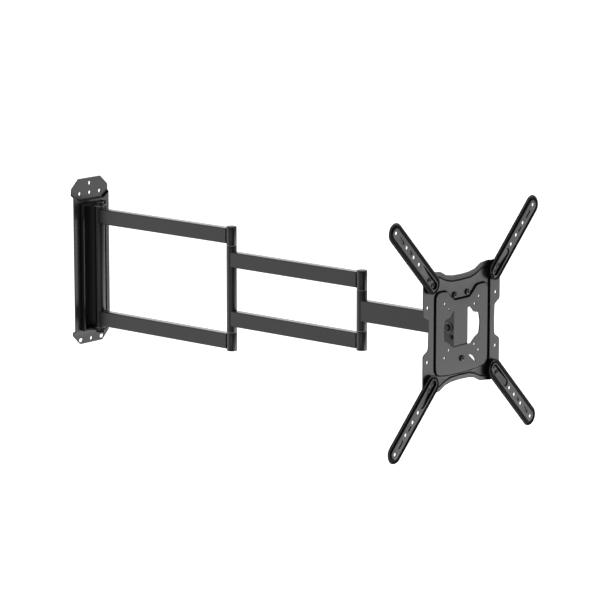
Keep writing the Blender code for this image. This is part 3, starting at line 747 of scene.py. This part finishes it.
def elbow(name, outer, inner, y, split, top):
    """The inner arm's sleeve between the outer arm's two knuckles, and the caps on those."""
    sleeve_end = split - 2 * GAP
    post(f"arm{inner}_sleeve_tube", PIVOT_BORE, -sleeve_end, sleeve_end, f"arm_{inner}", y,
         f"arm{inner}_sleeve")
    for side, sign in (("upper", 1), ("lower", -1)):
        low, high = sorted((sign * (split + GAP + BUSH_FLANGE), sign * (top - CAP_T - GAP)))
        post(f"arm{outer}_{side}_knuckle_ring", KNUCKLE_BORE, low, high, f"arm_{outer}", y,
             f"arm{outer}_{side}_knuckle")
        end_cap(f"{name}_{side}_end_cap", sign, top, f"arm_{outer}", y, f"{name}_{side}_cap")


def build_arms():
    """The tubes keep their CAD shape. Their posts, knuckles and caps are turned finer."""
    post("pivot_tube", PIVOT_BORE, -WALL_PIVOT_TOP, WALL_PIVOT_TOP, "arm_1", WALL_AXIS,
         "arm1_pivot_tube")
    for sizes in ELBOWS:
        elbow(**sizes)


def dress_frame():
    """The CAD nodes that stay get the finished materials, and softened edges."""
    slots = {entry["node"]: entry["material_slot"] for entry in frame["record"]["subparts"]}
    for name, node in frame["nodes"].items():
        if node.hide_render:
            continue
        node.data.materials.clear()
        node.data.materials.append(MATERIALS[slots[name]])
        soften(node, 0.3, angle=40.0)


# ---------------------------------------------------------------- stage

# Angles in degrees, places in metres, lens in millimetres.
CAMERA_AZIMUTH = -49.364
CAMERA_ELEVATION = 11.179
CAMERA_PLACE = (-4.7426, -4.6222, 1.2350)
CAMERA_LENS = 202.58

# Soft boxes round the object, as azimuth, elevation and width in degrees, then strength. Azimuth 0
# is in front of the head, 90 to the right.
SOFT_BOXES = [
    (-142, -8, 26, 1.1),
    (-64, -10, 13, 1.0),
    (46, -36, 20, 4.3),
    (131, 12, 24, 1.5),
    (175, 10, 22, 0.9),
    (-100, 70, 30, 0.5),
    (160, -55, 40, 0.7),
]
AMBIENT = 0.03

# Area lamps: name, place, size and power.
LAMPS = (("overhead", (-1.2, -1.0, 3.2), 2.6, 30.0), ("front", (1.5, -4.0, 1.0), 2.0, 30.0))
LAMPS_AIM = Vector((0, -0.5, 0))

FLOOR_HALF = 40.0
FLOOR_HEIGHT = -0.62


def direction(azimuth, elevation):
    a, e = math.radians(azimuth), math.radians(elevation)
    return Vector((math.sin(a) * math.cos(e), -math.cos(a) * math.cos(e), math.sin(e)))


def build_world():
    """Soft boxes as smooth bright lobes all round, and a pale surround behind the object."""
    world = bpy.data.worlds.new("studio")
    bpy.context.scene.world = world
    world.use_nodes = True
    nodes = Nodes(world.node_tree)
    background = world.node_tree.nodes["Background"]
    output = world.node_tree.nodes["World Output"]
    look = nodes.add("ShaderNodeTexCoord").outputs["Generated"]
    total = None
    for azimuth, elevation, width, strength in SOFT_BOXES:
        dot = nodes.add("ShaderNodeVectorMath", i0=look, i1=direction(azimuth, elevation))
        dot.operation = "DOT_PRODUCT"
        spread = 1.0 / math.radians(width) ** 2
        falloff = nodes.math("MULTIPLY", nodes.math("SUBTRACT", dot.outputs["Value"], 1.0), spread)
        lobe = nodes.math("MULTIPLY", nodes.math("EXPONENT", falloff), strength)
        total = lobe if total is None else nodes.math("ADD", total, lobe)
    total = nodes.math("ADD", total, AMBIENT)
    nodes.put(background, "Color", total)
    pale = nodes.add("ShaderNodeBackground", Color=(1.0, 1.0, 1.0, 1.0), Strength=1.0)
    camera_ray = nodes.add("ShaderNodeLightPath").outputs["Is Camera Ray"]
    mix = nodes.add("ShaderNodeMixShader", Fac=camera_ray, i1=background.outputs[0],
                    i2=pale.outputs[0])
    nodes.put(output, "Surface", mix.outputs[0])


def build_floor():
    """A pale floor that doesn't show in the object's own reflections."""
    mesh = bpy.data.meshes.new("floor")
    corners = ((-1, -1), (1, -1), (1, 1), (-1, 1))
    mesh.from_pydata([(x * FLOOR_HALF, y * FLOOR_HALF, FLOOR_HEIGHT) for x, y in corners], [],
                     [(0, 1, 2, 3)])
    material = bpy.data.materials.new("pale_floor")
    material.use_nodes = True
    nodes = Nodes(material.node_tree)
    shader = material.node_tree.nodes["Principled BSDF"]
    nodes.put(shader, "Base Color", nodes.ramp(nodes.noise(0.6), [(0.3, 0.82), (0.7, 0.84)]))
    nodes.put(shader, "Roughness", 0.9)
    nodes.put(shader, "Emission Color", (1.0, 1.0, 1.0, 1.0))
    nodes.put(shader, "Emission Strength", 0.85)
    mesh.materials.append(material)
    floor = bpy.data.objects.new("floor", mesh)
    bpy.context.collection.objects.link(floor)
    floor.visible_glossy = False
    floor.visible_diffuse = False


def build_lights():
    """A large soft lamp overhead and one in front, both weak beside the soft boxes."""
    for name, place, size, power in LAMPS:
        light = bpy.data.lights.new(name, "AREA")
        light.energy = power
        light.size = size
        lamp = bpy.data.objects.new(name, light)
        lamp.location = place
        aim = LAMPS_AIM - Vector(place)
        lamp.rotation_euler = aim.to_track_quat("-Z", "Y").to_euler()
        lamp.visible_glossy = False
        bpy.context.collection.objects.link(lamp)


def build_camera():
    data = bpy.data.cameras.new("camera")
    data.lens = CAMERA_LENS
    data.sensor_width = 36.0
    data.clip_end = 200.0
    camera = bpy.data.objects.new("camera", data)
    camera.location = CAMERA_PLACE
    looks_to = -direction(CAMERA_AZIMUTH, CAMERA_ELEVATION)
    camera.rotation_euler = looks_to.to_track_quat("-Z", "Y").to_euler()
    bpy.context.collection.objects.link(camera)
    bpy.context.scene.camera = camera
    bpy.context.scene.view_settings.view_transform = "Standard"


build_head()
build_wall_bracket()
build_arms()
dress_frame()
build_world()
build_floor()
build_lights()
build_camera()
